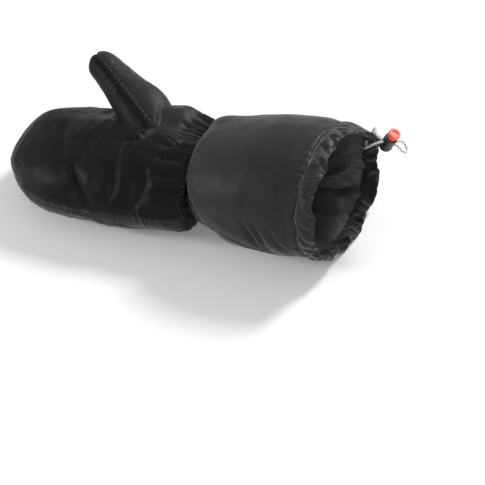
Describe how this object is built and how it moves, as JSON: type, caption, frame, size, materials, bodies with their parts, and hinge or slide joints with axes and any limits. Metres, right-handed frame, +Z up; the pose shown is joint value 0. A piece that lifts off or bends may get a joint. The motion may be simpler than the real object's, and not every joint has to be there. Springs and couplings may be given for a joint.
{
  "type": "down mitten",
  "caption": "Puffy down mitten lying palm up, with a set-in thumb, a gathered wrist, a long round gauntlet, and a drawcord hem closed by a push-button cord lock.",
  "frame": {"origin": "on the floor, under the middle of the mitten's bounding box without its cord and cord lock", "axes": "+X along the mitten from the fingertips to the open cuff, +Y to the thumb side, +Z up out of the palm"},
  "size_m": [0.4528, 0.173, 0.1262],
  "materials": {
    "shell_fabric": "black ripstop nylon, faint sheen",
    "lining_fabric": "thin black nylon, soft",
    "cord_braid": "black braided elastic cord with white flecks",
    "lock_plastic": "moulded black plastic",
    "button_plastic": "moulded orange-red plastic"
  },
  "bodies": {
    "mitten": {"palm_panel": "shell_fabric", "back_panel": "shell_fabric", "thumb_palm_panel": "shell_fabric", "thumb_back_panel": "shell_fabric", "wrist_band": "shell_fabric", "gauntlet": "shell_fabric", "cuff_lining": "lining_fabric", "hem_casing": "shell_fabric", "drawcord": "cord_braid", "cord_lock_body": "lock_plastic"},
    "button": {"cord_lock_button": "button_plastic"}
  },
  "joints": [
    {"name": "button_press", "type": "slide", "parent": "mitten", "child": "button", "axis": [-0.5999, 0.02, -0.7998], "range_m": [0, 0.004], "stiffness_N_per_m": 600}
  ]
}
